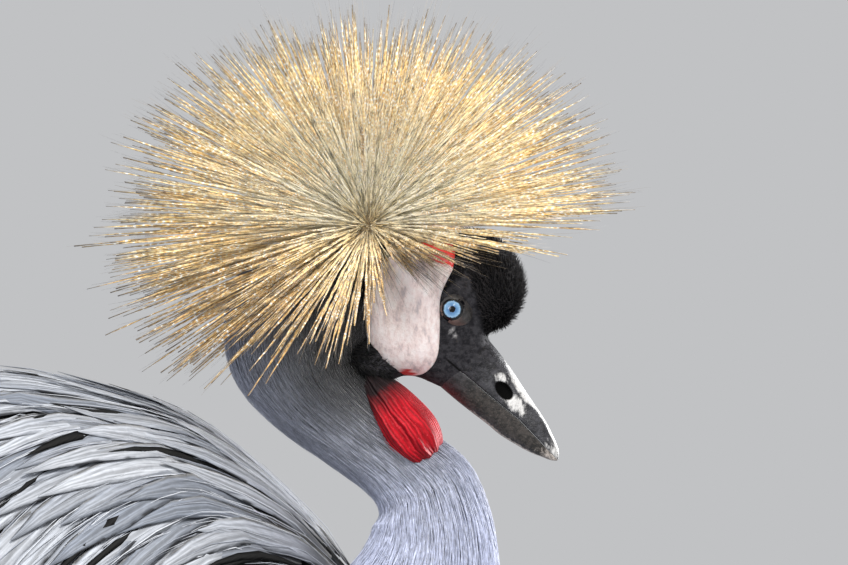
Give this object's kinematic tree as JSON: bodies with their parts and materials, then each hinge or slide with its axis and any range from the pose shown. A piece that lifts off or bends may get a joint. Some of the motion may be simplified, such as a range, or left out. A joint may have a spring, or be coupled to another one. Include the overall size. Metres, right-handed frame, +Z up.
{
  "type": "grey crowned crane model",
  "caption": "Standing grey crowned crane at life size, neck drawn back, crown of stiff golden bristles spread, wings folded.",
  "frame": {"origin": "middle of the model's bounding box, on the floor under the feet", "axes": "+X the way the bird faces, +Y the bird's left side, +Z up"},
  "size_m": [0.6218, 0.2356, 0.7191],
  "materials": {
    "crest": "matte",
    "velvet": "matte",
    "skull": "matte",
    "cheek": "satin",
    "iris": "gloss",
    "bill": "satin",
    "wattle": "satin",
    "neck": "matte",
    "body": "matte",
    "wing": "matte",
    "tertial": "matte",
    "flight": "matte",
    "leg": "satin",
    "claw": "satin"
  },
  "bodies": {
    "root": {"crest": "crest", "casque": "velvet", "head": "skull", "cheek_right": "cheek", "cheek_left": "cheek", "eye_right": "iris", "eye_left": "iris", "bill_upper": "bill", "bill_lower": "bill", "wattle": "wattle", "neck_upper": "neck", "neck_middle": "neck", "neck_base": "neck", "torso": "body", "thigh_right": "body", "thigh_left": "body", "wing_right": "wing", "wing_left": "wing", "mantle": "wing", "tertials_right": "tertial", "tertials_left": "tertial", "primaries_right": "flight", "primaries_left": "flight", "tail": "flight", "shank_right": "leg", "shank_left": "leg", "tarsus_right": "leg", "tarsus_left": "leg", "toe_middle_right": "leg", "toe_middle_left": "leg", "toe_inner_right": "leg", "toe_inner_left": "leg", "toe_outer_right": "leg", "toe_outer_left": "leg", "toe_hind_right": "leg", "toe_hind_left": "leg", "claw_middle_right": "claw", "claw_middle_left": "claw", "claw_inner_right": "claw", "claw_inner_left": "claw", "claw_outer_right": "claw", "claw_outer_left": "claw", "claw_hind_right": "claw", "claw_hind_left": "claw"}
  },
  "joints": []
}
